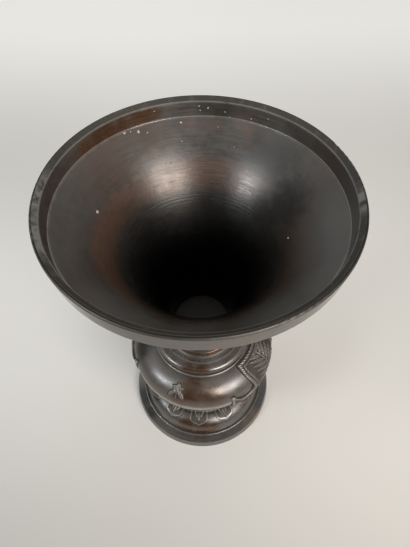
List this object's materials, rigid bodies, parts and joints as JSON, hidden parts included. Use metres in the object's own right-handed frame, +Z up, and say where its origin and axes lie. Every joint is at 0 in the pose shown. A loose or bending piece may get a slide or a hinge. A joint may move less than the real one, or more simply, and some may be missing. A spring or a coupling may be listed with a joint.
{
  "type": "gu vessel",
  "caption": "Cast bronze gu-form vase: flared trumpet mouth with upright lip, stepped collar, cushion-shaped bulb with raised cartouches, and spread foot with a row of lappets.",
  "frame": {"origin": "centre of the resting face under the foot", "axes": "+Z up along the vase's axis; the raised panels face +X and -X and the plain fields face -Y and +Y"},
  "size_m": [0.17, 0.17, 0.2632],
  "materials": {
    "bronze": "dark brown patina, satin, cast and turned",
    "bronze_relief": "dark brown patina, chased relief, worn paler on the high points",
    "bronze_pin": "drawn wire, filed flush",
    "solder": "dull grey soft solder"
  },
  "bodies": {
    "root": {"mouth_trumpet": "bronze", "floor_plate": "bronze", "floor_solder": "solder", "neck_collar": "bronze", "bulb_body": "bronze", "panel_right": "bronze_relief", "panel_left": "bronze_relief", "panel_pegs": "bronze_pin", "sprig_front": "bronze_relief", "sprig_back": "bronze_relief", "bell_foot": "bronze", "neck_pins": "bronze_pin", "foot_pins": "bronze_pin"}
  },
  "joints": []
}
